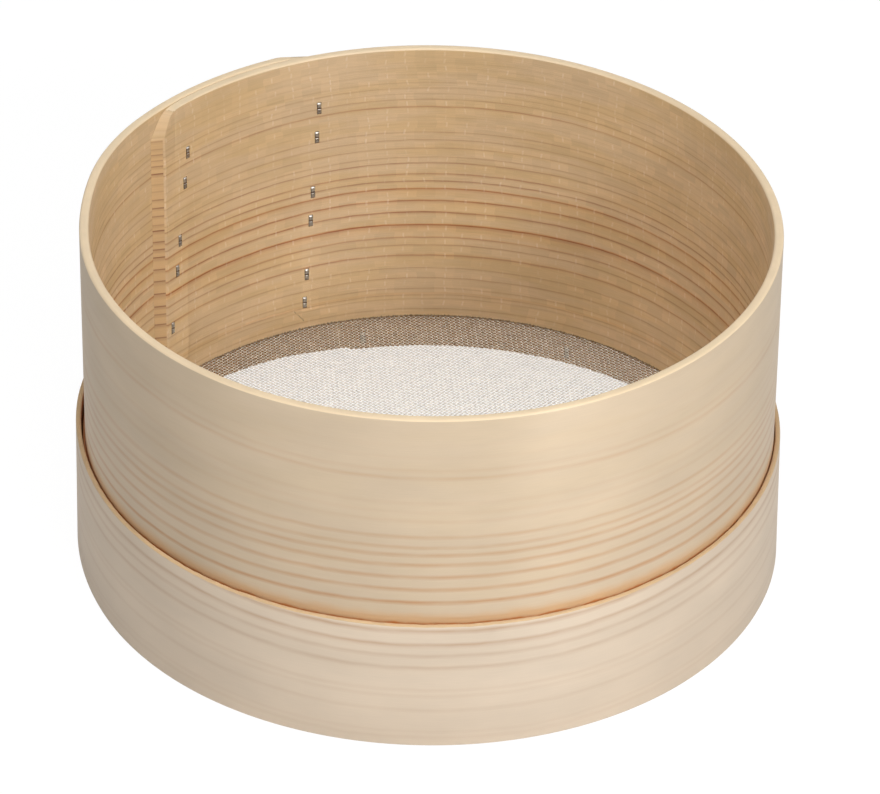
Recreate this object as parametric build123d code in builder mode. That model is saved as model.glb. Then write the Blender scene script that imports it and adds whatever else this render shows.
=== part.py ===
from build123d import *
import os
from math import ceil, cos, degrees, radians, sin, sqrt

# Drum sieve of bentwood: a tall drum hoop stands on a disc of wire cloth, and a lower clamp hoop,
# pushed up from below, traps the cloth's turned-up edge against the drum.
# Millimetres. +Z is up, Z = 0 is the lower edge of the clamp hoop, and the Z axis is the drum's axis.
# Angles are in degrees from +X, counted anticlockwise as seen from above. -Y is the front.
# Both strips run clockwise from their inner end, once round, and lap over that end on the outside.

# Drum hoop
drum_diameter = 220.0
drum_wall = 3.0
drum_height = 104.7
drum_end_angle = 144.2
drum_lap = 68.5
drum_scarf = 18.2
drum_tip = 0.4
drum_blend = 74.0
drum_rim_round = 1.1
drum_foot_bevel = 0.4
drum_corner_along = 3.7
drum_corner_up = 8.8
lap_gap = 0.25

# Wire cloth and its turned-up edge
cloth_drop = 14.0
cloth_thickness = 0.6
cloth_slack = 0.05
cloth_settle = 27.0
cloth_edge_reveal = 2.5
weave_angle = 50.0
net_pitch = 11.4
net_bar = 1.2
net_border = 1.5
least_gap_share = 0.12

# Clamp hoop
clamp_height = 44.5
clamp_wall = 1.7
clamp_gap = 0.9
clamp_spacing = 4.8
clamp_lap = 89.0
clamp_scarf = 10.0
clamp_tip = 0.4
clamp_lead = 34.0
clamp_rim_bevel = 0.5
clamp_foot_bevel = 0.4
clamp_corner_along = 3.2
clamp_corner_up = 3.0

# Staples
staple_wire = 0.6
staple_width = 1.3
staple_spread = 3.6
staple_bend = 0.6
staple_gap = 0.5
staple_fit = 0.05
staple_pair = 11.0
drum_clench_sink = 0.3
drum_crown_proud = 0.3
drum_pair_shares = (0.155, 0.46, 0.765)
drum_inner_setback = 7.2
drum_inner_lean = 8.0
drum_outer_setback = 6.4
drum_outer_lean = 4.2
clamp_height_shares = (0.1, 0.45, 0.8)
clamp_inner_setback = 7.6
clamp_outer_setback = 11.4

# Reach of a cutter past the face that it leaves
overrun = 1.0

# Worked-out sizes
drum_outer = drum_diameter / 2
drum_inner = drum_outer - drum_wall
drum_rise = drum_wall + lap_gap
drum_foot = cloth_drop + cloth_thickness
drum_top = drum_foot + drum_height
clamp_inner = drum_outer + clamp_gap
clamp_outer = clamp_inner + clamp_wall
clamp_rise = clamp_wall + lap_gap


def turn(length):
    """The angle that a length along the drum's outer face takes up."""
    return degrees(length / drum_outer)


def polar(radius, angle):
    return Vector(radius * cos(radians(angle)), radius * sin(radians(angle)))


def heading(angle):
    """The clockwise direction along a circle at an angle."""
    return Vector(sin(radians(angle)), -cos(radians(angle)))


# Angles where the strips begin, blend and end
drum_start = drum_end_angle + turn(drum_wall)
drum_blend_end = drum_start + turn(drum_wall)
drum_blend_start = drum_blend_end + turn(drum_blend)
drum_tip_angle = drum_end_angle - turn(drum_lap)
drum_scarf_angle = drum_tip_angle + turn(drum_scarf)
cloth_settle_angle = drum_scarf_angle - turn(cloth_settle)
clamp_end_angle = drum_tip_angle - turn(clamp_spacing)
clamp_start = clamp_end_angle + turn(clamp_wall)
clamp_tip_angle = clamp_end_angle - turn(clamp_lap)
clamp_scarf_angle = clamp_tip_angle + turn(clamp_scarf)
clamp_blend_start = drum_blend_start + turn(clamp_lead)


def bend(radius_from, angle_from, radius_to, angle_to):
    """Two tangent arcs that lead clockwise from one circle about the axis to another."""
    start, end = polar(radius_from, angle_from), polar(radius_to, angle_to)
    leave, arrive = heading(angle_from), heading(angle_to)
    chord = end - start
    both = chord.dot(leave + arrive)
    part = 1 - leave.dot(arrive)
    reach = (sqrt(both**2 + 2 * part * chord.dot(chord)) - both) / (2 * part)
    middle = (start + end + (leave - arrive) * reach) / 2
    first = TangentArc(start, middle, tangent=leave)
    TangentArc(middle, end, tangent=first % 1)


def circle_run(radius, angle_from, angle_to):
    CenterArc((0, 0), radius, angle_from, angle_to - angle_from)


def drum_line(radius, start_angle):
    """One face of the drum strip, seen from above, from its inner end to its outer end."""
    circle_run(radius, start_angle, drum_blend_start - 360)
    bend(radius, drum_blend_start, radius + drum_rise, drum_blend_end)
    circle_run(radius + drum_rise, drum_blend_end, drum_tip_angle)


def cloth_line(radius):
    """A closed line round the drum and its lap."""
    circle_run(radius, cloth_settle_angle, drum_blend_start - 360)
    bend(radius, drum_blend_start, radius + drum_rise, drum_blend_end)
    circle_run(radius + drum_rise, drum_blend_end, drum_scarf_angle)
    bend(radius + drum_rise, drum_scarf_angle, radius, cloth_settle_angle)


def clamp_line(radius, start_angle):
    """One face of the clamp strip, out round the drum's lap and then over its own inner end."""
    circle_run(radius, start_angle, clamp_blend_start - 360)
    bend(radius, clamp_blend_start, radius + drum_rise, drum_blend_end)
    circle_run(radius + drum_rise, drum_blend_end, drum_scarf_angle)
    bend(radius + drum_rise, drum_scarf_angle, radius + clamp_rise, clamp_start)
    circle_run(radius + clamp_rise, clamp_start, clamp_tip_angle)


def long_edges(face, wall):
    """The edges of a strip's upper or lower face that run along the strip."""
    return face.edges().filter_by(lambda edge: edge.length > 4 * wall)


def end_corners(inner_edge, outer_edge, foot, top, along, up):
    """The two slanting corners that come off a strip's inner end. The bevelled end face leads them."""
    bevel = (outer_edge - inner_edge).normalized()
    slant = overrun / up
    with BuildPart() as corners:
        with BuildSketch(Plane(origin=inner_edge, x_dir=bevel.rotate(Axis.Z, 90), z_dir=bevel)):
            for edge, inward in ((top, -1), (foot, 1)):
                low = (along * slant, edge + inward * (up + overrun))
                high = (-along * (1 + slant), edge - inward * overrun)
                with BuildLine():
                    Polyline(low, high, (low[0], high[1]), close=True)
                make_face()
        extrude(amount=2 * (outer_edge - inner_edge).length, both=True)
        with BuildSketch(Plane.XY.offset(foot - overrun)):
            Circle(outer_edge.length + lap_gap / 2)
        extrude(amount=top - foot + 2 * overrun, mode=Mode.INTERSECT)
    return corners.part


def scarf_points(outer_radius, tip_radius, scarf_angle, tip_angle):
    return polar(outer_radius, scarf_angle), polar(tip_radius, tip_angle)


def scarf_wedge(points):
    """The region outside the slope that thins a strip's outer end."""
    top, tip = points
    slope = (tip - top).normalized()
    outward = slope.rotate(Axis.Z, 90)
    if outward.dot(top) < 0:
        outward = -outward
    near, far = top - slope * overrun, tip + slope * overrun
    reach = outward * (drum_rise + clamp_rise)
    Polyline(near, far, far + reach, near + reach, close=True)


def line_radius(points, angle):
    """Distance from the axis to the line through two points, along an angle."""
    first, second = points
    along = second - first
    ray = polar(1, angle)
    return (first.X * along.Y - first.Y * along.X) / (ray.X * along.Y - ray.Y * along.X)


def staple_plane(angle, height):
    """A plane through the axis: its X runs outwards and its Y runs up."""
    return Plane(
        origin=(0, 0, height),
        x_dir=(cos(radians(angle)), sin(radians(angle)), 0),
        z_dir=(sin(radians(angle)), -cos(radians(angle)), 0),
    )


def staple_way(place):
    """The space that one staple takes in the wood, a little wider than its wire.

    The wood stays between the legs. Crown and tips lie in grooves that are open at the surface.
    """
    angle, height, inner_centre, outer_centre = place
    depth = outer_centre - inner_centre
    way_wire = staple_wire + 2 * staple_fit
    with BuildPart() as way:
        with BuildSketch(staple_plane(angle, height)):
            with Locations(((inner_centre + outer_centre) / 2, 0)):
                Rectangle(depth + 2 * overrun, staple_spread + way_wire)
                Rectangle(depth - way_wire, staple_spread - way_wire, mode=Mode.SUBTRACT)
        extrude(amount=staple_width / 2 + staple_fit, both=True)
    return way.part


def make_staple(place, name):
    """A driven staple: its crown outside, its legs through the wood, its tips turned together."""
    angle, height, inner_centre, outer_centre = place
    depth = outer_centre - inner_centre
    with BuildPart() as staple:
        with BuildSketch(staple_plane(angle, height)):
            with Locations(((inner_centre + outer_centre) / 2, 0)):
                RectangleRounded(depth + staple_wire, staple_spread + staple_wire, staple_bend)
                Rectangle(depth - staple_wire, staple_spread - staple_wire, mode=Mode.SUBTRACT)
            with Locations((inner_centre, 0)):
                Rectangle(2 * staple_wire, staple_gap, mode=Mode.SUBTRACT)
        extrude(amount=staple_width / 2, both=True)
    staple.part.label = name
    export_step(staple.part, f"parts/{name}.step")


# Places of the staples: angle, height, and how far from the axis the tips and the crown lie
drum_scarf_line = scarf_points(
    drum_outer + drum_rise, drum_inner + drum_rise + drum_tip, drum_scarf_angle, drum_tip_angle
)
drum_clench = drum_inner - staple_wire / 2 + drum_clench_sink
drum_middle = drum_foot + drum_height / 2
drum_staples = []
for setback_angle, lean, proud in (
    (drum_end_angle - turn(drum_inner_setback), drum_inner_lean, -staple_fit),
    (drum_tip_angle + turn(drum_outer_setback), drum_outer_lean, drum_crown_proud),
):
    for share in drum_pair_shares:
        for side in (-1, 1):
            level = drum_foot + share * drum_height + side * staple_pair / 2
            shift = (drum_middle - level) * sin(radians(lean))
            angle = setback_angle + turn(shift)
            face = min(drum_outer + drum_rise, line_radius(drum_scarf_line, angle))
            crown = face + proud - staple_wire / 2
            drum_staples.append((angle, level, drum_clench, crown))

clamp_clench = clamp_inner + staple_wire / 2 + staple_fit
clamp_crown = clamp_outer + clamp_rise - staple_wire / 2 - staple_fit
clamp_staples = []
for angle in (
    clamp_end_angle - turn(clamp_inner_setback),
    clamp_tip_angle + turn(clamp_outer_setback),
):
    for share in clamp_height_shares:
        clamp_staples.append((angle, share * clamp_height, clamp_clench, clamp_crown))

os.makedirs("parts", exist_ok=True)

# Drum hoop: the strip's coil seen from above is raised, its edges are eased, its outer end
# is scarfed, its inner end loses its corners, and the staples' ways go through the lap
drum_end_inside = polar(drum_inner, drum_end_angle)
drum_end_outside = polar(drum_outer, drum_start)
drum_corners = end_corners(
    drum_end_inside, drum_end_outside, drum_foot, drum_top, drum_corner_along, drum_corner_up
)
drum_ways = [staple_way(place) for place in drum_staples]
with BuildPart() as drum_hoop:
    with BuildSketch(Plane.XY.offset(drum_foot)):
        with BuildLine():
            drum_line(drum_inner, drum_end_angle)
            drum_line(drum_outer, drum_start)
            Line(drum_end_inside, drum_end_outside)
            Line(
                polar(drum_inner + drum_rise, drum_tip_angle),
                polar(drum_outer + drum_rise, drum_tip_angle),
            )
        make_face()
    extrude(amount=drum_height)
    rim = drum_hoop.faces().sort_by(Axis.Z)[-1]
    fillet(long_edges(rim, drum_wall), radius=drum_rim_round)
    foot = drum_hoop.faces().sort_by(Axis.Z)[0]
    chamfer(long_edges(foot, drum_wall), length=drum_foot_bevel)
    with BuildSketch(Plane.XY.offset(drum_foot - overrun)):
        with BuildLine():
            scarf_wedge(drum_scarf_line)
        make_face()
    extrude(amount=drum_height + 2 * overrun, mode=Mode.SUBTRACT)
    add(drum_corners, mode=Mode.SUBTRACT)
    add(drum_ways, mode=Mode.SUBTRACT)
drum_hoop.part.label = "drum_hoop"
export_step(drum_hoop.part, "parts/drum_hoop.step")

# Cloth: a disc that reaches out under the drum's lap, with a flat net inside its plain border.
# The disc's face has the net's gaps as holes, and is raised by the cloth's thickness.
net_radius = drum_inner - net_border
net_gap = net_pitch - net_bar
across = 2 * ceil(net_radius / net_pitch) + 1
with BuildSketch(Plane.XY.offset(cloth_drop)) as disc:
    with BuildLine():
        cloth_line(drum_outer + cloth_slack + cloth_thickness)
    make_face()
with BuildSketch(Plane.XY.offset(cloth_drop).rotated((0, 0, weave_angle))) as net:
    with GridLocations(net_pitch, net_pitch, across, across):
        Rectangle(net_gap, net_gap)
    Circle(net_radius, mode=Mode.INTERSECT)
gaps = net.sketch.faces().filter_by(lambda gap: gap.area > least_gap_share * net_gap**2)
print("gaps in the net:", len(gaps))
with BuildPart() as wire_cloth:
    holed_face = Face(disc.sketch.face().outer_wire(), [gap.outer_wire() for gap in gaps])
    extrude(holed_face, amount=cloth_thickness, dir=(0, 0, 1))
wire_cloth.part.label = "wire_cloth"
export_step(wire_cloth.part, "parts/wire_cloth.step")

# The cloth's edge, turned up between the two hoops
with BuildPart() as cloth_edge:
    with BuildSketch(Plane.XY.offset(drum_foot)) as edge_band:
        with BuildLine():
            cloth_line(drum_outer + cloth_slack + cloth_thickness)
        make_face()
        with BuildLine():
            cloth_line(drum_outer + cloth_slack)
        make_face(mode=Mode.SUBTRACT)
    extrude(amount=clamp_height - cloth_edge_reveal - drum_foot)
cloth_edge.part.label = "cloth_edge"
export_step(cloth_edge.part, "parts/cloth_edge.step")

# Clamp hoop, made as the drum hoop is
clamp_scarf_line = scarf_points(
    clamp_outer + clamp_rise, clamp_inner + clamp_rise + clamp_tip, clamp_scarf_angle, clamp_tip_angle
)
clamp_end_inside = polar(clamp_inner, clamp_end_angle)
clamp_end_outside = polar(clamp_outer, clamp_start)
clamp_corners = end_corners(
    clamp_end_inside, clamp_end_outside, 0, clamp_height, clamp_corner_along, clamp_corner_up
)
clamp_ways = [staple_way(place) for place in clamp_staples]
with BuildPart() as clamp_hoop:
    with BuildSketch():
        with BuildLine():
            clamp_line(clamp_inner, clamp_end_angle)
            clamp_line(clamp_outer, clamp_start)
            Line(clamp_end_inside, clamp_end_outside)
            Line(
                polar(clamp_inner + clamp_rise, clamp_tip_angle),
                polar(clamp_outer + clamp_rise, clamp_tip_angle),
            )
        make_face()
    extrude(amount=clamp_height)
    rim = clamp_hoop.faces().sort_by(Axis.Z)[-1]
    chamfer(long_edges(rim, clamp_wall), length=clamp_rim_bevel)
    foot = clamp_hoop.faces().sort_by(Axis.Z)[0]
    chamfer(long_edges(foot, clamp_wall), length=clamp_foot_bevel)
    with BuildSketch(Plane.XY.offset(-overrun)):
        with BuildLine():
            scarf_wedge(clamp_scarf_line)
        make_face()
    extrude(amount=clamp_height + 2 * overrun, mode=Mode.SUBTRACT)
    add(clamp_corners, mode=Mode.SUBTRACT)
    add(clamp_ways, mode=Mode.SUBTRACT)
clamp_hoop.part.label = "clamp_hoop"
export_step(clamp_hoop.part, "parts/clamp_hoop.step")

# Staples, each driven from outside and clenched inside
for number, place in enumerate(drum_staples, start=1):
    make_staple(place, f"lap_staple_{number:02d}")
for number, place in enumerate(clamp_staples, start=1):
    make_staple(place, f"clamp_staple_{number}")
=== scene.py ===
# %% [markdown]
# A drum sieve of bentwood. Two thin strips of softwood are steamed, bent into hoops and lapped over
# their own ends, where staples hold them. Fine wire cloth lies across the foot of the tall hoop, and
# the low hoop, pushed up from below, clamps its edge. The construction comes from the frame, so this
# file only gives each piece its finish, and makes finer copies of the pieces that show up close.

# %% Load the frame
from math import cos, degrees, hypot, pi, radians, sin, sqrt

import bmesh
import bpy
from mathutils import Matrix, Vector, noise


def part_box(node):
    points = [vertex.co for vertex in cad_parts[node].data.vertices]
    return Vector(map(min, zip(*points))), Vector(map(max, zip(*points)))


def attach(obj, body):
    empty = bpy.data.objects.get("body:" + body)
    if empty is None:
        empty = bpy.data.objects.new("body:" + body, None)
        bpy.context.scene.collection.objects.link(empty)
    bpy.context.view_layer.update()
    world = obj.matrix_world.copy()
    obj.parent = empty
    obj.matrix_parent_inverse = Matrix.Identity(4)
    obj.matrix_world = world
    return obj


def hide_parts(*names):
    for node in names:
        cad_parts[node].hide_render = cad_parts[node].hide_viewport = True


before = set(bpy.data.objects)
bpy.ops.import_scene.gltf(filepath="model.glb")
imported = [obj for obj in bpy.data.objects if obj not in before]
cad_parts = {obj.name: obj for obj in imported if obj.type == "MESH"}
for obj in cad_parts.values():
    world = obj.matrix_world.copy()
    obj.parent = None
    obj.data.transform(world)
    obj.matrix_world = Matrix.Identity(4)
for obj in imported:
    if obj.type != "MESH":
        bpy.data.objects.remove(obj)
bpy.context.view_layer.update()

mm = 0.001
print("frame nodes:", len(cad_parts))

# %% [markdown]
# The sizes are read off the frame where a box gives them. The rest repeat the sieve's own driving
# sizes: walls, laps, gaps and the angles where the strips begin, blend and end. Angles count
# anticlockwise from +X seen from above, and both strips run clockwise from their inner ends. A pair
# holds the length along the strip and the height of a corner or a slope.

# %% Sizes
drum_radius = 110 * mm
drum_wall = 3.0 * mm
drum_end_angle = 144.2
drum_lap = 68.5 * mm
drum_scarf = 18.2 * mm
drum_blend = 74 * mm
drum_rim_round = 0.8 * mm
drum_foot_bevel = 0.4 * mm
drum_corner = (3.7 * mm, 8.8 * mm)
drum_foot, drum_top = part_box("drum_hoop")[0].z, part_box("drum_hoop")[1].z

clamp_gap = 0.9 * mm
clamp_wall = 1.7 * mm
clamp_spacing = 4.8 * mm
clamp_lap = 89 * mm
clamp_scarf = 10 * mm
clamp_lead = 34 * mm
clamp_edge_bevel = 0.6 * mm
clamp_corner = (3.2 * mm, 3.0 * mm)
clamp_foot, clamp_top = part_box("clamp_hoop")[0].z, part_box("clamp_hoop")[1].z + 0.6 * mm
clamp_lean, clamp_lean_height = 0.6 * mm, 5.0 * mm

lap_gap = 0.12 * mm
tip_wall = 0.4 * mm
tip_slope = (16.6 * mm, 1.7 * mm)
end_round = 0.9 * mm
end_press = 0.8
corner_round = 1.8 * mm

cloth_low, cloth_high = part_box("wire_cloth")[0].z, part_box("wire_cloth")[1].z
cloth_reach = drum_radius + 0.2 * mm
weave_angle = 50
weave_pitch = 1.17 * mm
wire_thickness = 0.25 * mm


def turn(length):
    """The angle that a length along the drum's outer face takes up."""
    return degrees(length / drum_radius)


drum_inner = drum_radius - drum_wall
drum_rise = drum_wall + lap_gap
drum_blend_end = drum_end_angle + 2 * turn(drum_wall)
drum_blend_start = drum_blend_end + turn(drum_blend)
drum_tip_angle = drum_end_angle - turn(drum_lap)
drum_scarf_angle = drum_tip_angle + turn(drum_scarf)
clamp_inner = drum_radius + clamp_gap
clamp_rise = clamp_wall + lap_gap
clamp_end_angle = drum_tip_angle - turn(clamp_spacing)
clamp_start = clamp_end_angle + turn(clamp_wall)
clamp_blend_start = drum_blend_start + turn(clamp_lead)
print("drum foot and top, mm:", round(drum_foot / mm, 2), round(drum_top / mm, 2))

# %% [markdown]
# Colours are written as the sRGB hex values that a paint program shows, and one function turns them
# into the linear values that Blender works with. One more adds a node, sets what is a plain value and
# links what is a socket or a node, so that a material reads as a short list of nodes.


# %% Helpers for materials
def linear(hex_code, alpha=1.0):
    """A linear colour from an sRGB hex value such as "d9c19c"."""
    parts = [int(hex_code[i : i + 2], 16) / 255 for i in (0, 2, 4)]
    return [p / 12.92 if p <= 0.04045 else ((p + 0.055) / 1.055) ** 2.4 for p in parts] + [alpha]


def add(tree, kind, *values, inputs=None, **settings):
    """Adds a node. Values go to its first inputs, in order, and a table fills the ones it names.

    A value is a plain one, a socket to link, or a node, whose first output is linked.
    """
    node = tree.nodes.new("ShaderNode" + kind)
    for name, setting in settings.items():
        setattr(node, name, setting)
    for key, value in (dict(enumerate(values)) | (inputs or {})).items():
        if isinstance(value, bpy.types.Node):
            value = value.outputs[0]
        if isinstance(value, bpy.types.NodeSocket):
            tree.links.new(value, node.inputs[key])
        else:
            node.inputs[key].default_value = value
    return node


def new_material(name):
    """An empty material with its shader and output, and the shader returned with the tree."""
    material = bpy.data.materials.new(name)
    material.use_nodes = True
    tree = material.node_tree
    tree.nodes.clear()
    shader = add(tree, "BsdfPrincipled")
    add(tree, "OutputMaterial", shader)
    return material, tree, shader


def plain_material(name, colour, rough):
    """A material with one colour and one roughness."""
    material, tree, shader = new_material(name)
    shader.inputs["Base Color"].default_value = linear(colour)
    shader.inputs["Roughness"].default_value = rough
    return material


def stretched_noise(tree, at, width, height, **named):
    """Noise between 0 and 1 whose patches are this wide and high, in mm."""
    place = add(tree, "Mapping", inputs={"Vector": at, "Scale": (1 / width, 1 / height, 1)})
    return add(tree, "TexNoise", inputs={"Vector": place, "Scale": 1.0, "Detail": 2.0, **named})


print("softwood's pale band, linear:", [round(part, 3) for part in linear("d5b78f")])

# %% [markdown]
# Softwood grows a pale, soft band each spring and a thin, dark, hard one each summer. A strip sawn
# along the trunk shows the dark ones as lines that run round the hoop. Their heights are the sieve's
# own, so they are a table: height in mm, depth of colour, and how far the colour fades below the
# line. A float curve draws the lines, one curve for each half of the height, because a curve keeps
# only 256 steps. The end grain shows the drum's rings again, darker and wider.

# %% Growth rings
drum_inner_rings = (
    (17.8, 0.30, 0.7), (21.8, 0.24, 0.7), (23.3, 0.32, 0.7), (25.9, 0.36, 0.7), (30.1, 0.40, 0.8),
    (34.1, 0.36, 0.8), (39.2, 0.58, 0.9), (43.3, 0.50, 0.8), (46.3, 0.52, 0.8), (51.3, 0.95, 1.5),
    (56.3, 0.80, 1.0), (60.8, 0.72, 1.0), (65.5, 0.70, 1.0), (68.5, 0.66, 0.9), (71.3, 0.58, 0.8),
    (75.5, 0.58, 0.8), (77.8, 0.30, 0.7), (81.3, 0.34, 0.7), (84.5, 0.32, 0.7), (87.5, 0.32, 0.7),
    (90.7, 0.12, 0.6), (93.3, 0.11, 0.6), (97.4, 0.48, 0.8), (100.2, 0.34, 0.7), (102.4, 0.16, 0.6),
    (104.6, 0.28, 0.7), (106.7, 0.18, 0.6), (109.7, 0.14, 0.6), (112.2, 0.11, 0.6), (114.2, 0.10, 0.6),
)
drum_inner_glows = (
    (24.0, 0.25, 1.8), (39.4, 0.35, 2.2), (46.5, 0.30, 1.8), (51.5, 0.95, 4.2),
    (56.5, 0.30, 1.6), (60.9, 0.60, 3.0), (65.6, 0.75, 3.6), (71.4, 0.20, 1.4), (97.5, 0.20, 1.4),
)
end_rings = [(place, min(2.2 * depth, 1), 2 * fade) for place, depth, fade in drum_inner_rings]
# The darkest outer line, at 46.2 mm above the clamp's rim, is a ring and painted shade of the gap.
drum_outer_rings = (
    (19.0, 0.30, 1.2), (24.5, 0.35, 1.2), (30.5, 0.30, 1.2), (36.0, 0.40, 1.4), (41.5, 0.30, 1.2),
    (46.2, 0.98, 1.9), (52.5, 0.72, 1.3), (57.4, 0.50, 1.2), (62.0, 0.48, 1.2), (66.5, 0.46, 1.3),
    (70.1, 0.44, 1.1), (73.0, 0.30, 1.0), (76.8, 0.32, 1.1), (82.6, 0.13, 1.1), (85.9, 0.08, 1.0),
    (89.2, 0.10, 1.0), (98.3, 0.26, 1.2), (101.1, 0.13, 1.0), (105.7, 0.05, 1.0), (110.0, 0.03, 1.0),
)
clamp_outer_rings = (
    (3.2, 0.12, 1.0), (5.3, 0.10, 0.9), (13.6, 0.16, 1.0), (18.9, 0.12, 1.0), (21.2, 0.14, 1.0),
    (29.7, 0.34, 1.5), (34.1, 0.30, 1.2), (38.2, 0.55, 1.8), (43.3, 0.62, 1.5),
)
shoulder = 0.35


def ring_lines(tree, height, rings, edge):
    """How dark the rings are at a height in mm: 0 between them, up to 1 on them."""
    middle = len(rings) // 2
    halves = []
    for part in (rings[:middle], rings[middle:]):
        low, high = part[0][0] - part[0][2] - 2 * edge, part[-1][0] + 2 * edge
        share = add(tree, "MapRange", height, low, high)
        node = add(tree, "FloatCurve", inputs={"Value": share})
        curve = node.mapping.curves[0]
        curve.points[1].location = (1, 0)
        reached = low
        for place, depth, fade in part:
            start = max(place - fade, reached)
            heights = [(start, 0), (place, depth), (place + edge, 0)]
            if place - edge > start:
                heights.insert(1, (place - edge, shoulder * depth))
            for x, y in heights:
                point = curve.points.new((x - low) / (high - low), y)
                point.handle_type = "VECTOR"
            reached = place + 1.02 * edge
        node.mapping.update()
        halves.append(node)
    return add(tree, "Math", *halves, operation="MAXIMUM")


for name, rings in (("inside", drum_inner_rings), ("outside", drum_outer_rings)):
    print("drum rings", name, len(rings))


# %% [markdown]
# Rings aren't quite level. They wander by a fraction of a millimetre, and drift where the strip was
# sawn at a slant to them. So the height that the lines are drawn from is bent before the curves read
# it. A row of a drift says from where to where across the sieve it grows, in mm, from which rise to
# which, and then the same for the heights between which it takes hold.


# %% Ring height
smooth = {"interpolation_type": "SMOOTHSTEP"}


def ring_height(tree, at, height, wander, drift):
    """The height in mm at which a point reads the table of rings."""
    for width, tall, detail, reach in ((60, 34, 3.0, 2 * wander), (7, 9, 1.0, 0.75 * wander)):
        waves = stretched_noise(tree, at, width, tall, Detail=detail)
        bend = add(tree, "MapRange", waves, 0, 1, -reach, reach)
        height = add(tree, "Math", height, bend, operation="ADD")
    across = add(tree, "SeparateXYZ", add(tree, "TexCoord").outputs["Object"])
    for left, right, at_left, at_right, low, high, at_low, at_high in drift:
        rise = add(tree, "MapRange", across, left * mm, right * mm, at_left, at_right, **smooth)
        share = add(tree, "MapRange", height, low, high, at_low, at_high, **smooth)
        rise = add(tree, "Math", rise, share, operation="MULTIPLY")
        height = add(tree, "Math", height, rise, operation="SUBTRACT")
    return height


# %% [markdown]
# The fluted feed roller of a planer leaves rows of short, pale ticks across the grain, like the
# joints of brickwork. Each cell of a grid gets a random number, which sets how clear the tick across
# its middle is, and the cells differ a little in tone.

# %% Roller marks
tick_spacing, row_height = 6.7, 2.7
tick_sides = (0.035, 0.055)
tick_ends = (0.25, 0.4)


def from_middle(tree, value):
    """How far a value's fraction is from one half."""
    part = add(tree, "Math", value, operation="FRACT")
    part = add(tree, "Math", part, 0.5, operation="SUBTRACT")
    return add(tree, "Math", part, operation="ABSOLUTE")


def roller_marks(tree, at):
    """Pale ticks, from 0 to 1, and the tone of each cell, from -0.5 to 0.5."""
    split = add(tree, "SeparateXYZ", at)
    level = add(tree, "Math", split.outputs[1], row_height, operation="DIVIDE")
    row = add(tree, "Math", level, operation="FLOOR")
    jog = add(tree, "TexWhiteNoise", inputs={"W": row}, noise_dimensions="1D").outputs["Value"]
    slow = stretched_noise(tree, at, 14, 9)
    column = add(tree, "Math", split.outputs[0], tick_spacing, operation="DIVIDE")
    column = add(tree, "Math", jog, 0.22, column, operation="MULTIPLY_ADD")
    column = add(tree, "Math", slow, 0.5, column, operation="MULTIPLY_ADD")
    cell = add(tree, "CombineXYZ", add(tree, "Math", column, operation="FLOOR"), row)
    noise_of_cell = add(tree, "TexWhiteNoise", inputs={"Vector": cell}, noise_dimensions="2D")
    chance = noise_of_cell.outputs["Value"]
    line = add(tree, "MapRange", from_middle(tree, column), *tick_sides, 1, 0)
    tall = add(tree, "MapRange", from_middle(tree, level), *tick_ends, 1, 0)
    tick = add(tree, "Math", line, tall, operation="MULTIPLY")
    clear = add(tree, "MapRange", chance, 0.1, 1.0)
    tick = add(tree, "Math", tick, clear, operation="MULTIPLY")
    return tick, add(tree, "Math", chance, 0.5, operation="SUBTRACT")


# %% [markdown]
# Low on the inner wall, beside the lap, the planer tore the grain: a short slanting crack starts from
# a long pale scar. The distance to a line between two points draws both, with the points in mm along
# the strip and up.

# %% Crack and scar
crack_from, crack_to = (54.8, 23.0), (58.6, 18.2)
scar_from, scar_to = (36, 23.9), (66, 22.2)


def line_distance(tree, at, first, last):
    """Distance in mm from a point on the strip to the line between two others."""
    run = Vector((*last, 0)) - Vector((*first, 0))
    unit = run / run.length_squared
    offset = add(tree, "VectorMath", at, (*first, 0), operation="SUBTRACT")
    along = add(tree, "VectorMath", offset, unit, operation="DOT_PRODUCT").outputs["Value"]
    share = add(tree, "MapRange", along, 0, 1)
    nearest = add(tree, "VectorMath", run, inputs={"Scale": share}, operation="SCALE")
    return add(tree, "VectorMath", offset, nearest, operation="DISTANCE").outputs["Value"]


def split_line(tree, at):
    """The shade of the crack and of its scar, 1 elsewhere."""
    bent = add(tree, "TexNoise", inputs={"Vector": at, "Scale": 0.35, "Detail": 3.0}).outputs[1]
    bent = add(tree, "VectorMath", bent, (0.5, 0.5, 0.5), operation="SUBTRACT")
    bent = add(tree, "VectorMath", bent, inputs={"Scale": 1.6}, operation="SCALE")
    place = add(tree, "VectorMath", at, bent, operation="ADD")
    off_crack = line_distance(tree, place, crack_from, crack_to)
    off_scar = line_distance(tree, place, scar_from, scar_to)
    crack = add(tree, "MapRange", off_crack, 0.08, 0.28, 0.6, 1)
    scar = add(tree, "MapRange", off_scar, 0.1, 0.6, 1.13, 1)
    return add(tree, "Math", crack, scar, operation="MULTIPLY")


print("crack, mm:", round((Vector(crack_to) - Vector(crack_from)).length, 1))

# %% [markdown]
# The wood material. The strips carry a UV map in metres, along the strip and up, so a pattern follows
# the bend. It drives the ring lines, which glow orange and end in a dark edge, fine fibres stretched
# along the strip and cloudy patches. The same values drive a slight bump. Bare sanded softwood has a
# soft shine that runs out across the fibres, so the shine is stretched upwards.
#
# A row of gap tints says at which height a tint starts, at which it is full, and its colour: painted
# shade and a painted orange glow in the narrow gap between the hoops. A row of side tones says from
# where to where across the sieve the shade changes, in mm, and from what to what: painted light and
# shade that lightens or darkens a side of a wall beyond what the lamps give, and a painted highlight
# at the front of the drum.

# %% Wood
tick_colour = "fff6e6"
heartwood_tint = "f4e8b4"
cloud_depth = 0.045
glow_edge = 0.5
foot_shade = 0.3


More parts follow.
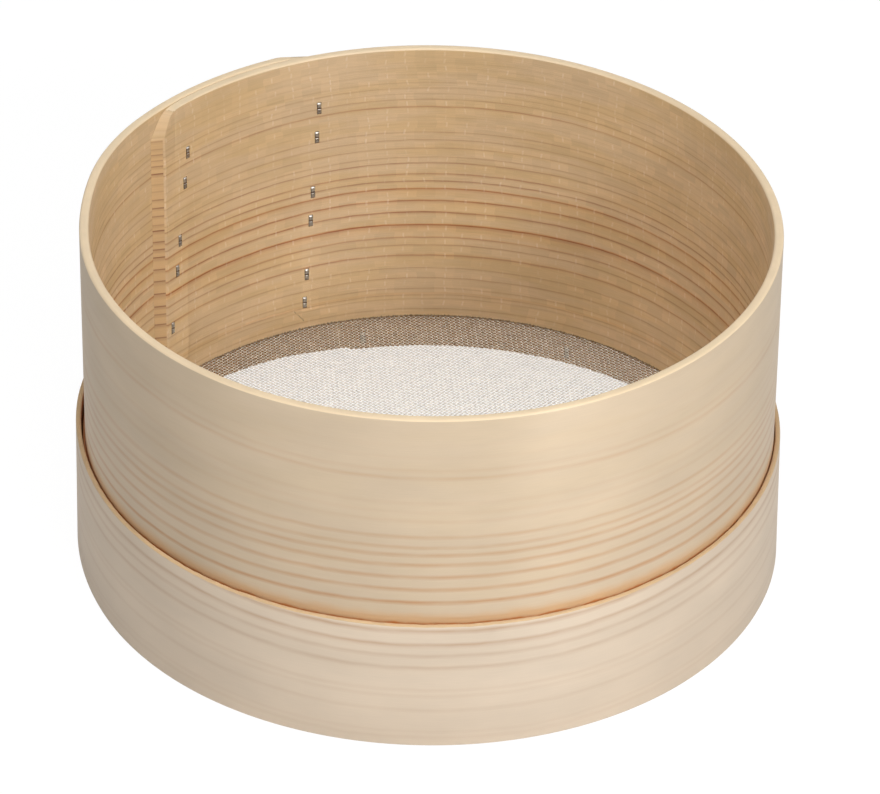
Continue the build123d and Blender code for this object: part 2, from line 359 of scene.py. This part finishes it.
def wood(
    name, colours, rings, glows=(), edge=0.3, wander=0.4, drift=(), marks=0.0, fibre=0.05,
    rough=0.5, lift=0.1, foot=0, hue=0.0, gap_shade_and_glow=(), depth=1.0, painted_side_light=(), crack=False,
):
    """Softwood on a face or edge of a strip. The colours are early wood, glow and late wood."""
    material, tree, shader = new_material(name)
    at = add(tree, "UVMap", uv_map="strip")
    at = add(tree, "VectorMath", at, inputs={"Scale": 1 / mm}, operation="SCALE")
    height = add(tree, "SeparateXYZ", at).outputs[1]
    across = add(tree, "SeparateXYZ", add(tree, "TexCoord").outputs["Object"])
    fibres = stretched_noise(tree, at, 9, 0.32, Detail=5.0, Roughness=0.6)
    fine = add(tree, "MapRange", fibres, 0.25, 0.75, 1 - fibre, 1 + fibre)
    cloud = stretched_noise(tree, at, 38, 13)
    coarse = add(tree, "MapRange", cloud, 0.3, 0.7, 1 - cloud_depth, 1 + cloud_depth)
    shade = add(tree, "Math", fine, coarse, operation="MULTIPLY")
    relief = fibres
    tints, shades = [], []
    if rings:
        read = ring_height(tree, at, height, wander, drift)
        lines = ring_lines(tree, read, rings, edge)
        patch = stretched_noise(tree, at, 16, 2.2, Detail=4.0)
        strength = add(tree, "MapRange", patch, 0.3, 0.6, 0.6 * depth, 1.1 * depth)
        lines = add(tree, "Math", lines, strength, operation="MULTIPLY")
        if glows:
            tints.append((ring_lines(tree, read, glows, glow_edge), colours[1], "MIX"))
        tints.append((lines, colours[2], "MIX"))
        relief = add(tree, "Math", lines, -0.6, relief, operation="MULTIPLY_ADD")
    if marks:
        tick, tone = roller_marks(tree, at)
        share = add(tree, "Math", tick, marks, operation="MULTIPLY")
        tints.append((share, tick_colour, "MIX"))
        shade = add(tree, "Math", tone, 0.65 * marks, shade, operation="MULTIPLY_ADD")
        relief = add(tree, "Math", tick, 0.3, relief, operation="MULTIPLY_ADD")
    # Painted shade: the inner wall darkens along a ragged line at its foot, where the cloth meets it.
    if foot:
        jagged = add(tree, "MapRange", stretched_noise(tree, at, 0.7, 4), 0.3, 0.7, -0.3, 0.3)
        ragged = add(tree, "Math", height, jagged, operation="ADD")
        shades.append(add(tree, "MapRange", ragged, foot + 0.4, foot + 0.9, foot_shade, 1))
    # Painted shade and a painted orange glow, by height, in the narrow gap between the hoops.
    if gap_shade_and_glow:
        jagged = add(tree, "MapRange", stretched_noise(tree, at, 7, 5), 0.3, 0.7, -0.5, 0.5)
        ragged = add(tree, "Math", height, jagged, operation="ADD")
        for high, low, tint in gap_shade_and_glow:
            tints.append((add(tree, "MapRange", ragged, high, low, **smooth), tint, "MIX"))
    if hue:
        patches = stretched_noise(tree, at, 45, 8, Detail=3.0)
        share = add(tree, "MapRange", patches, 0.4, 0.62, 0, hue, **smooth)
        tints.append((share, heartwood_tint, "MULTIPLY"))
    # Painted light and shade across the sieve, with a painted highlight at the front of the drum.
    for first, last, *span in painted_side_light:
        shades.append(add(tree, "MapRange", across, first * mm, last * mm, *span, **smooth))
    if crack:
        shades.append(split_line(tree, at))
    colour = add(tree, "RGB").outputs[0]
    colour.default_value = linear(colours[0])
    for share, tint, mode in tints:
        mixed = {0: share, 6: colour, 7: linear(tint)}
        colour = add(tree, "Mix", inputs=mixed, data_type="RGBA", blend_type=mode).outputs[2]
    for factor in shades:
        shade = add(tree, "Math", shade, factor, operation="MULTIPLY")
    tinted = add(tree, "VectorMath", colour, inputs={"Scale": shade}, operation="SCALE")
    bump = add(tree, "Bump", inputs={"Strength": 0.5, "Distance": lift * mm, "Height": relief})
    tangent = add(tree, "Tangent", direction_type="RADIAL", axis="Z")
    for name, made in (("Base Color", tinted), ("Normal", bump), ("Tangent", tangent)):
        tree.links.new(made.outputs[0], shader.inputs[name])
    shader.inputs["Roughness"].default_value = rough
    shader.inputs["Anisotropic"].default_value = 0.8
    shader.inputs["Anisotropic Rotation"].default_value = 0.25
    shader.inputs["IOR"].default_value = 1.5
    return material


# %% [markdown]
# Each strip has four woods: its planed inside, its sanded outside, its long edges and its end grain.
# The drum's long edge is sanded to a rim, and the clamp's is left from the saw. The clamp's inside
# is painted browner than its outside, as painted shade for the recess under the cloth, through which
# it shows as a dark band.

# %% The woods of the two strips
inside_colours = ("d5b78f", "cd9458", "8c4214")
inside_drift = (
    (70, 20, 0.9, 0, 100, 72, 0, 1),
    (-20, -70, 0, -1.1, 15, 80, 0.5, 1),
)
# Painted light and shade on the inner wall: a little darker right of the middle, lighter further
# right.
inside_painted_side_light = ((30, 82, 1, 1.16), (20, -60, 0.96, 1))
outside_colours = ("d3bea2", "c99a62", "ba7c40")
outside_drift = (
    (-20, -95, 0, 4.4, 64, 96, 0, 1),
    (-20, -80, 0, -1.2, 44, 56, 0, 1),
    (20, 95, 0, -2.0, 60, 100, 0, 1),
)
# Painted shade on the drum just above the clamp's rim, and a painted orange glow in the gap below it.
outside_gap_shade_and_glow = ((50.0, 45.8, "d4ae84"), (45.3, 44.5, "c8844c"))
# Painted light and shade on the outer face: darker at both sides, a painted highlight at the front
# right.
outside_painted_side_light = ((-40, -85, 1, 0.93), (15, 40, 1, 1.09), (48, 75, 1, 0.92), (60, 105, 1, 0.95))
# Painted shade: the clamp's inside is darker and browner than its outside, for the shade under the
# cloth.
clamp_inside_shaded_colours = ("a07238", "986634", "784622")
clamp_colours = ("d8c6b0", "c09a70", "aa7c54")
clamp_drift = ((-15, -100, 0, 2.6, 10, 44, 0.8, 1), (25, 100, 0, 2.6, 10, 44, 0.8, 1))
# Painted shade on the clamp's outer face, darker towards the left and right sides.
clamp_painted_side_light = ((-40, -85, 1, 0.95), (60, 105, 1, 0.95))
end_colours = ("d0ac7c", "c08a55", "743618")
woods = {
    "drum": [
        wood("softwood_planed_inside", inside_colours, drum_inner_rings, drum_inner_glows,
             wander=0.25, depth=1.08, drift=inside_drift, marks=0.16, fibre=0.085, rough=0.6,
             lift=0.2, foot=drum_foot / mm, hue=0.28, painted_side_light=inside_painted_side_light, crack=True),
        wood("softwood_sanded_outside", outside_colours, drum_outer_rings,
             edge=0.95, wander=0.25, depth=0.9, drift=outside_drift, fibre=0.03, rough=0.40,
             lift=0.05, hue=0.06, gap_shade_and_glow=outside_gap_shade_and_glow, painted_side_light=outside_painted_side_light),
        wood("softwood_sanded_rim", ("ecd4b0",), (), fibre=0.05),
        wood("softwood_end_grain", end_colours, end_rings, fibre=0.10, rough=0.7, lift=0.3),
    ],
    "clamp": [
        # Above 24 mm the clamp's inside gets a painted orange glow, in the gap beside the drum.
        wood("clamp_wood_planed_inside", clamp_inside_shaded_colours, clamp_outer_rings,
             marks=0.2, fibre=0.06, rough=0.6, lift=0.2, gap_shade_and_glow=((24, 30, "d08a4c"),)),
        wood("clamp_wood_sanded_outside", clamp_colours, clamp_outer_rings,
             edge=0.95, wander=0.3, depth=0.85, drift=clamp_drift, fibre=0.03, rough=0.5,
             lift=0.05, painted_side_light=clamp_painted_side_light),
        wood("clamp_wood_sawn_edge", ("d2b48c",), (), fibre=0.12, rough=0.7, lift=0.3),
        wood("clamp_wood_end_grain", end_colours, clamp_outer_rings, fibre=0.10, rough=0.7, lift=0.2),
    ],
}
# Painted shade: the dark brown given to the faces of the cuts beside the staples.
staple_gap_shade = plain_material("staple_gap_painted_shade", "6a4c32", 0.8)
print("wood materials:", [m.name for kind in woods.values() for m in kind])

# %% [markdown]
# The wire of the cloth is drawn stainless steel, a little dull from weaving and rolling. The staples
# are flat galvanised wire, greyer and shinier. A metal's colour is its reflection, and its index of
# refraction stays at the default.

# %% Steel
spot_size = 2.5 * mm


def steel(name, colour, dull, spread):
    """Drawn steel wire whose shine changes a little from place to place."""
    material, tree, shader = new_material(name)
    place = add(tree, "TexCoord").outputs["Object"]
    spots = add(tree, "TexNoise", inputs={"Vector": place, "Scale": 1 / spot_size, "Detail": 2.0})
    rough = add(tree, "MapRange", spots, 0, 1, dull - spread, dull + spread)
    tone = add(tree, "MapRange", spots, 0.3, 0.7, 0.9, 1.08)
    tinted = add(tree, "VectorMath", linear(colour)[:3], inputs={"Scale": tone}, operation="SCALE")
    tree.links.new(rough.outputs[0], shader.inputs["Roughness"])
    tree.links.new(tinted.outputs[0], shader.inputs["Base Color"])
    shader.inputs["Metallic"].default_value = 1.0
    return material


woven_steel = steel("stainless_woven_wire", "ebe7de", 0.45, 0.05)
staple_steel = steel("galvanised_staple_wire", "aba59d", 0.32, 0.10)
print("steels:", woven_steel.name, staple_steel.name)

# %% [markdown]
# A strip is a ribbon that keeps its wall all the way, so its section is drawn once, as an outline
# with rounded corners, and swept along the strip. A modifier could round the edges of a plain ribbon
# instead, but it would stumble over the thin outer end. So each point's place is worked out from how
# far along it lies: how far the strip has bent out over its own end, the slope that thins the outer
# end, and the slanting corners of the inner end, which the staples press outwards a little. Each
# point also remembers how far along it lies, which gives the UV map that the grain follows.

# %% Strips
INSIDE, OUTSIDE, EDGE, END = range(4)
fine_step, fine_steps = 0.3 * mm, 24
least_drop = 0.02 * mm
touch = 0.01 * mm


def eased(share):
    """A change that starts and ends gently, made of two equal arcs."""
    share = min(max(share, 0), 1)
    return 2 * share**2 if share < 0.5 else 1 - 2 * (1 - share) ** 2


def polar(radius, angle, z=0.0):
    """A point at a distance from the axis, an angle round it and a height."""
    return Vector((radius * cos(radians(angle)), radius * sin(radians(angle)), z))


def drum_offset(angle):
    """How far the drum strip lies out from its first turn, at an angle that only falls."""
    start = drum_blend_start - 360
    return drum_rise * eased((start - angle) / (drum_blend_start - drum_blend_end))


def clamp_offset(angle):
    """The same for the clamp strip, which rides over the drum's lap and then over its own end."""
    out = eased((clamp_blend_start - 360 - angle) / (clamp_blend_start - drum_blend_end))
    back = eased((drum_scarf_angle - 360 - angle) / (drum_scarf_angle - clamp_start))
    return drum_rise * out + (clamp_rise - drum_rise) * back


def line_radius(first, second, angle):
    """Distance from the axis to the line through two points, along an angle."""
    ray = polar(1, angle)
    run = second - first
    return (first.x * run.y - first.y * run.x) / (ray.x * run.y - ray.y * run.x)


def rounded_section(wall, foot, top, top_round, foot_round):
    """The outline of a strip's section as points (distance from the inner face, height)."""
    outline = []
    for across, level, (size, steps), turned in (
        (wall, foot, foot_round, -90), (wall, top, top_round, 0),
        (0, top, top_round, 90), (0, foot, foot_round, 180),
    ):
        centre_across = across + (size if across == 0 else -size)
        centre_level = level + (size if level == foot else -size)
        for n in range(steps + 1):
            swing = radians(turned + 90 * n / steps)
            outline.append((centre_across + size * cos(swing), centre_level + size * sin(swing)))
    return outline


def strip_mesh(
    wall, inner, offset, end_angle, length, foot, top, scarf, corner, top_round, foot_round, step
):
    """A bent strip: its section is extruded from the inner end to the outer one."""
    mesh = bmesh.new()
    along = mesh.verts.layers.float.new("along")
    outline = rounded_section(wall, foot, top, top_round, foot_round)
    runs = [fine_step * n for n in range(fine_steps)]
    count = round((length - runs[-1]) / step)
    runs += [runs[-1] + (length - runs[-1]) * n / count for n in range(1, count + 1)]
    outer_last = inner + wall + offset(end_angle - turn(length))
    slope_start = polar(outer_last, end_angle - turn(length - scarf))
    slope_end = polar(outer_last - wall + tip_wall, end_angle - turn(length))
    slope_length, slope_drop = tip_slope
    corner_length, corner_height = corner

    def place(across, level, run):
        """A point of the outline at a distance along the strip."""
        angle = end_angle - turn(run)
        share = across / wall
        near_end = max(0, 1 - run / (2 * wall))
        inside_round = (1 - share) * end_round / 2 * max(0, 1 - run / end_round) ** 2
        pressed = share * end_press * lap_gap * near_end**2
        reach = inner + across + offset(angle) + inside_round + pressed
        if run > length - scarf:
            reach = min(reach, line_radius(slope_start, slope_end, angle))
        past = max(0, run - length + slope_length) / slope_length
        level = min(level, top - slope_drop * past)
        ahead = corner_length - run
        drop = corner_height / corner_length * (ahead + hypot(ahead, corner_round)) / 2
        if drop > least_drop:
            level = min(max(level, foot + drop), top - drop)
        return polar(reach, angle + share * turn(wall) * near_end, level)

    ring = [mesh.verts.new(place(*point, 0)) for point in outline]
    edges = [mesh.edges.new(pair) for pair in zip(ring, ring[1:] + ring[:1])]
    for run in runs[1:]:
        made = bmesh.ops.extrude_edge_only(mesh, edges=edges)["geom"]
        fresh = set(made)
        ring = [next(e.other_vert(v) for e in v.link_edges if e.other_vert(v) in fresh) for v in ring]
        made_edges = [e for e in made if isinstance(e, bmesh.types.BMEdge)]
        edges = [e for e in made_edges if all(v in fresh for v in e.verts)]
        for vert, point in zip(ring, outline):
            vert.co = place(*point, run)
            vert[along] = run
    bmesh.ops.holes_fill(mesh, edges=[e for e in mesh.edges if e.is_boundary])
    bmesh.ops.recalc_face_normals(mesh, faces=mesh.faces)
    return mesh, along


def wood_of(face, along, length):
    """Which of a strip's four woods a face shows."""
    middle = face.calc_center_median()
    out = Vector((middle.x, middle.y, 0)).normalized()
    forward = abs(face.normal.dot(Vector((-out.y, out.x, 0))))
    upright = abs(face.normal.z)
    runs = [vert[along] for vert in face.verts]
    if max(runs) < touch or min(runs) > length - touch:
        return END
    if forward > 0.3 and upright > 0.2:
        return INSIDE
    if upright > 0.45:
        return EDGE
    return OUTSIDE if face.normal.dot(out) > 0 else INSIDE


def new_object(name, data):
    """An object in the scene for a mesh, a curve, a lamp or a camera."""
    made = bpy.data.objects.new(name, data)
    bpy.context.scene.collection.objects.link(made)
    return made


def new_mesh(name, mesh, materials):
    """Mesh data from a bmesh, which is freed."""
    data = bpy.data.meshes.new(name)
    mesh.to_mesh(data)
    mesh.free()
    for material in materials:
        data.materials.append(material)
    return data


def finish_strip(mesh, along, name, node, kinds, length):
    """Gives a strip its UV map and its four woods, and puts it in the scene in place of a node."""
    uv = mesh.loops.layers.uv.new("strip")
    for face in mesh.faces:
        face.normal_update()
        face.smooth = True
        face.material_index = wood_of(face, along, length)
        for loop in face.loops:
            loop[uv].uv = (loop.vert[along], loop.vert.co.z)
    data = new_mesh(name, mesh, kinds)
    data.set_sharp_from_angle(angle=radians(40))
    piece = new_object(name, data)
    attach(piece, "root")
    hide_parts(node)
    print(name, "faces:", len(data.polygons))
    return piece


# %% [markdown]
# The drum hoop is the taller strip, and holds the food. Its rim is sanded round, so the upper corners
# of its section take four steps each, and the lower ones, where the cloth bends round, only two.

# %% Drum hoop
drum_length = 2 * pi * drum_radius + drum_lap
drum_mesh, drum_along = strip_mesh(
    wall=drum_wall, inner=drum_inner, offset=drum_offset, end_angle=drum_end_angle,
    length=drum_length, foot=drum_foot, top=drum_top, scarf=drum_scarf, corner=drum_corner,
    top_round=(drum_rim_round, 4), foot_round=(drum_foot_bevel, 2), step=1.4 * mm,
)
drum_strip = finish_strip(
    drum_mesh, drum_along, "drum_strip", "drum_hoop", woods["drum"], drum_length
)

# %% [markdown]
# The clamp hoop is thinner, and it is pushed up over the cloth's edge. It leans in where it grips the
# drum, and its upper edge is left as the saw leaves it. So its points are moved: inwards near the
# top, and up or down by a few tenths of a millimetre, in short and long waves of noise.

# %% Clamp hoop
sawn_depth = 1.5 * mm
sawn_height = 0.16 * mm
sawn_bias = 0.6
short_wave, long_wave = 2.2 * mm, 9 * mm

clamp_length = 2 * pi * drum_radius + clamp_lap
clamp_mesh, clamp_along = strip_mesh(
    wall=clamp_wall, inner=clamp_inner, offset=clamp_offset, end_angle=clamp_end_angle,
    length=clamp_length, foot=clamp_foot, top=clamp_top, scarf=clamp_scarf, corner=clamp_corner,
    top_round=(clamp_edge_bevel, 3), foot_round=(clamp_edge_bevel, 2), step=0.8 * mm,
)
for vert in clamp_mesh.verts:
    share = eased((vert.co.z - clamp_top + clamp_lean_height) / clamp_lean_height)
    vert.co.xy = vert.co.xy * (1 - clamp_lean * share / vert.co.xy.length)
    if vert.co.z > clamp_top - sawn_depth:
        wave = noise.noise(vert.co / short_wave) + noise.noise(vert.co / long_wave)
        vert.co.z = min(vert.co.z + sawn_height * (wave - sawn_bias), clamp_top)
clamp_strip = finish_strip(
    clamp_mesh, clamp_along, "clamp_strip", "clamp_hoop", woods["clamp"], clamp_length
)

# %% [markdown]
# The cloth is a plain weave: each wire goes over one, under the next. It is drawn as curves with a
# round section, two points to a crossing, so each wire climbs between crossings and lies flat over
# them. A flat sheet with a pattern of holes would look the same from far off, but not close up. The
# wires of one direction share a few curve objects, each small enough to export whole.
#
# The cloth's turned-up edge is squeezed out of sight between the strips, all but its brim. So it
# keeps its plain shape, and its colour is painted shade: the orange-brown of wire in the shade of the
# wood.

# %% Wire cloth
crossing_flat = 0.21
points_per_piece = 15500


def weave(direction, phase, name):
    """The wires of one direction, as a few curve objects."""
    along_axis = polar(1, direction)
    across_axis = polar(1, direction + 90)
    middle = (cloth_low + cloth_high) / 2
    groups = [[]]
    count = int(cloth_reach / weave_pitch)
    for k in range(-count, count + 1):
        half = sqrt(cloth_reach**2 - (k * weave_pitch) ** 2)
        last = int(half / weave_pitch)
        points = []
        for j in range(-last, last + 1):
            side = 1 if (j + k + phase) % 2 else -1
            for step in (-crossing_flat, crossing_flat):
                centre = across_axis * (k * weave_pitch) + along_axis * ((j + step) * weave_pitch)
                points.append((centre.x, centre.y, middle + side * wire_thickness / 2))
        if sum(map(len, groups[-1])) + len(points) > points_per_piece:
            groups.append([])
        groups[-1].append(points)
    made = []
    for number, group in enumerate(groups, start=1):
        curve = bpy.data.curves.new(f"{name}_{number}", "CURVE")
        curve.dimensions = "3D"
        curve.twist_mode = "Z_UP"
        curve.bevel_depth = wire_thickness / 2
        curve.bevel_resolution = 1
        curve.use_fill_caps = True
        for points in group:
            spline = curve.splines.new("POLY")
            spline.points.add(len(points) - 1)
            spline.points.foreach_set("co", [c for p in points for c in (*p, 1)])
        curve.materials.append(woven_steel)
        piece = new_object(f"{name}_{number}", curve)
        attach(piece, "root")
        made.append(piece)
    print(name, "wires:", sum(map(len, groups)), "pieces:", len(made))
    return made


warp = weave(weave_angle, 0, "warp_wires")
weave(weave_angle + 90, 1, "weft_wires")
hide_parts("wire_cloth")
# Painted shade: the cloth's edge gets the brown of wire in the shade between the strips.
edge_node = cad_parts["cloth_edge"]
edge_node.data.materials.clear()
edge_node.data.materials.append(plain_material("wire_between_strips_painted_shade", "b8743c", 0.6))

# %% [markdown]
# A staple is a bent flat wire, driven through both layers and clenched on the inside. The frame has
# each one in its place, with square edges, so a merged copy gets its edges rounded and stands in
# for it.

# %% Staples
same_place = 0.002 * mm
staple_round = 0.14 * mm


def soft_staple(node):
    """A copy of a staple with rounded edges."""
    mesh = bmesh.new()
    mesh.from_mesh(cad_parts[node].data)
    bmesh.ops.remove_doubles(mesh, verts=mesh.verts, dist=same_place)
    bmesh.ops.dissolve_limit(
        mesh, angle_limit=radians(2), verts=mesh.verts, edges=mesh.edges,
        use_dissolve_boundaries=False,
    )
    sharp = [e for e in mesh.edges if e.is_manifold and e.calc_face_angle() > radians(60)]
    bmesh.ops.bevel(
        mesh, geom=sharp, offset=staple_round, segments=2, profile=0.5, affect="EDGES",
        material=-1, clamp_overlap=True,
    )
    for face in mesh.faces:
        face.smooth = True
    piece = new_object("round_" + node, new_mesh("round_" + node, mesh, [staple_steel]))
    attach(piece, "root")
    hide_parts(node)
    return piece


staples = [soft_staple(node) for node in sorted(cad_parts) if "_staple_" in node]
print("staples:", len(staples))

# %% [markdown]
# A driven staple crushes the wood round its legs and leaves a gap beside the wire. A block a little
# larger than each staple's outline is cut out of the strip, no deeper than the wire, and the cut's
# faces keep the block's dark material, a painted shade that deepens the gap's own.

# %% Staple gaps
gap_depth = 0.5 * mm
drum_clearance, clamp_clearance = 0.12 * mm, 0.25 * mm


def add_gap_blocks(mesh, node, clearance):
    """Adds a staple's outline grown by a clearance, as a block at each face of its strip."""
    low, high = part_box(node)
    centre = (low + high) / 2
    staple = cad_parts[node]
    corners = [staple.matrix_world @ v.co for v in staple.data.vertices]
    out = Vector((centre.x, centre.y, 0)).normalized()
    side = Vector((-out.y, out.x, 0))
    reach = [(c - centre).dot(out) for c in corners]
    width = max((c - centre).dot(side) for c in corners)
    tall = high.z - centre.z
    for face in (min(reach), max(reach)):
        for vert in bmesh.ops.create_cube(mesh, size=2)["verts"]:
            x, y, z = vert.co
            place = centre + out * (face + x * gap_depth) + side * (y * (width + clearance))
            vert.co = place + Vector((0, 0, z * (tall + clearance)))


for strip, kind, clearance in (
    (drum_strip, "lap_staple", drum_clearance), (clamp_strip, "clamp_staple", clamp_clearance)
):
    blocks = bmesh.new()
    for node in sorted(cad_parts):
        if kind in node:
            add_gap_blocks(blocks, node, clearance)
    cutter = new_object(kind + "_gaps", new_mesh(kind + "_gaps", blocks, [staple_gap_shade]))
    cut = strip.modifiers.new("staple gaps", "BOOLEAN")
    cut.operation = "DIFFERENCE"
    cut.solver = "EXACT"
    cut.material_mode = "TRANSFER"
    cut.object = cutter
    bpy.context.view_layer.update()
    whole = strip.evaluated_get(bpy.context.evaluated_depsgraph_get())
    cut_mesh = bpy.data.meshes.new_from_object(whole)
    strip.modifiers.clear()
    strip.data = cut_mesh
    bpy.data.objects.remove(cutter)
    print(strip.name, "faces after the cut:", len(cut_mesh.polygons))

# %% [markdown]
# The studio: a white paper floor, a dim white world and six soft lamps. The key light and a narrow
# strip stand at the front right, weaker ones at the left fill the shade, and one hangs above for the
# inside of the drum. Seen by the camera, floor and world are white, and the floor keeps a faint
# shadow. In reflections the floor is kept dark, or the cloth would look like a mirror of it.

# %% Floor, world and lamps
floor_size, floor_drop = 8, 0.05 * mm
floor_seen, floor_mirrored, floor_glow = 0.9, 0.06, 1.06
world_mirrored, world_light = 1.7, 0.06
lamp_distance, lamp_aim = 1.9, 0.06

bpy.ops.mesh.primitive_plane_add(size=floor_size, location=(0, 0, -floor_drop))
floor = bpy.context.object
floor.name = "floor"
floor_material = bpy.data.materials.new("white_paper_floor")
floor_material.use_nodes = True
tree = floor_material.node_tree
tree.nodes.clear()
path = add(tree, "LightPath").outputs
seen = add(tree, "Math", path["Is Camera Ray"], floor_seen, operation="MULTIPLY")
mirrored = add(tree, "Math", path["Is Glossy Ray"], floor_mirrored, operation="MULTIPLY")
share = add(tree, "Math", seen, mirrored, operation="MAXIMUM")
paper = add(tree, "BsdfDiffuse", linear("f0f0f0"))
glow = add(tree, "Emission", (1, 1, 1, 1), floor_glow)
add(tree, "OutputMaterial", add(tree, "MixShader", share, paper, glow))
floor.data.materials.append(floor_material)

world = bpy.data.worlds.new("studio")
bpy.context.scene.world = world
world.use_nodes = True
tree = world.node_tree
tree.nodes.clear()
path = add(tree, "LightPath").outputs
mirrored = add(
    tree, "Math", path["Is Glossy Ray"], path["Is Transmission Ray"], operation="MAXIMUM"
)
mirrored = add(tree, "Math", mirrored, world_mirrored, operation="MULTIPLY")
strength = add(tree, "Math", path["Is Camera Ray"], mirrored, operation="MAXIMUM")
strength = add(tree, "Math", strength, world_light, operation="MAXIMUM")
add(tree, "OutputWorld", add(tree, "Background", (1, 1, 1, 1), strength))


def lamp(name, azimuth, elevation, size, power):
    """A square soft lamp that faces the drum. Azimuth counts as the angles round the drum do."""
    light = bpy.data.lights.new(name, "AREA")
    light.shape = "SQUARE"
    light.size = size
    light.energy = power
    flat = lamp_distance * cos(radians(elevation))
    place = polar(flat, azimuth, lamp_distance * sin(radians(elevation)) + lamp_aim)
    holder = new_object(name, light)
    holder.location = place
    facing = (Vector((0, 0, lamp_aim)) - place).to_track_quat("-Z", "Y")
    holder.rotation_euler = facing.to_euler()


for name, azimuth, elevation, size, power in (
    ("key", 291, 38, 1.2, 10.5),
    ("strip", 308, 28, 0.3, 13),
    ("left", 248, 44, 1.2, 3.4),
    ("fill", 205, 50, 1.2, 4.8),
    ("right", 340, 40, 1.2, 0.3),
    ("top", 270, 82, 1.2, 11),
):
    lamp(name, azimuth, elevation, size, power)
    print("lamp:", name, power, "W")

# %% [markdown]
# The camera stands where the photographer's did: a long lens, a little over a third of a right angle
# above the worktop, aimed just right of the drum's middle and rolled by less than a degree. The
# numbers come from fitting the drum's rims and outline to the photograph.

# %% Camera
view_elevation = radians(33.9435)
view_distance = 16.6 * drum_radius
view_aim = Vector((3.231 * mm, 0, 53.78 * mm))
view_roll = radians(0.676)
focal_pixels = 5727.3
picture_width = 880

camera_data = bpy.data.cameras.new("camera")
camera_data.sensor_width = 36
camera_data.lens = focal_pixels / picture_width * camera_data.sensor_width
camera_data.clip_end = 20
camera = new_object("camera", camera_data)
back = Vector((0, -cos(view_elevation), sin(view_elevation)))
right = Vector((1, 0, 0))
up = Vector((0, sin(view_elevation), cos(view_elevation)))
x_axis = right * cos(view_roll) + up * sin(view_roll)
y_axis = up * cos(view_roll) - right * sin(view_roll)
turned = Matrix((x_axis, y_axis, back)).transposed().to_4x4()
camera.matrix_world = Matrix.Translation(view_aim + back * view_distance) @ turned
bpy.context.scene.camera = camera
bpy.context.scene.view_settings.view_transform = "Standard"
print("lens and distance, mm:", round(camera_data.lens), round(view_distance / mm))
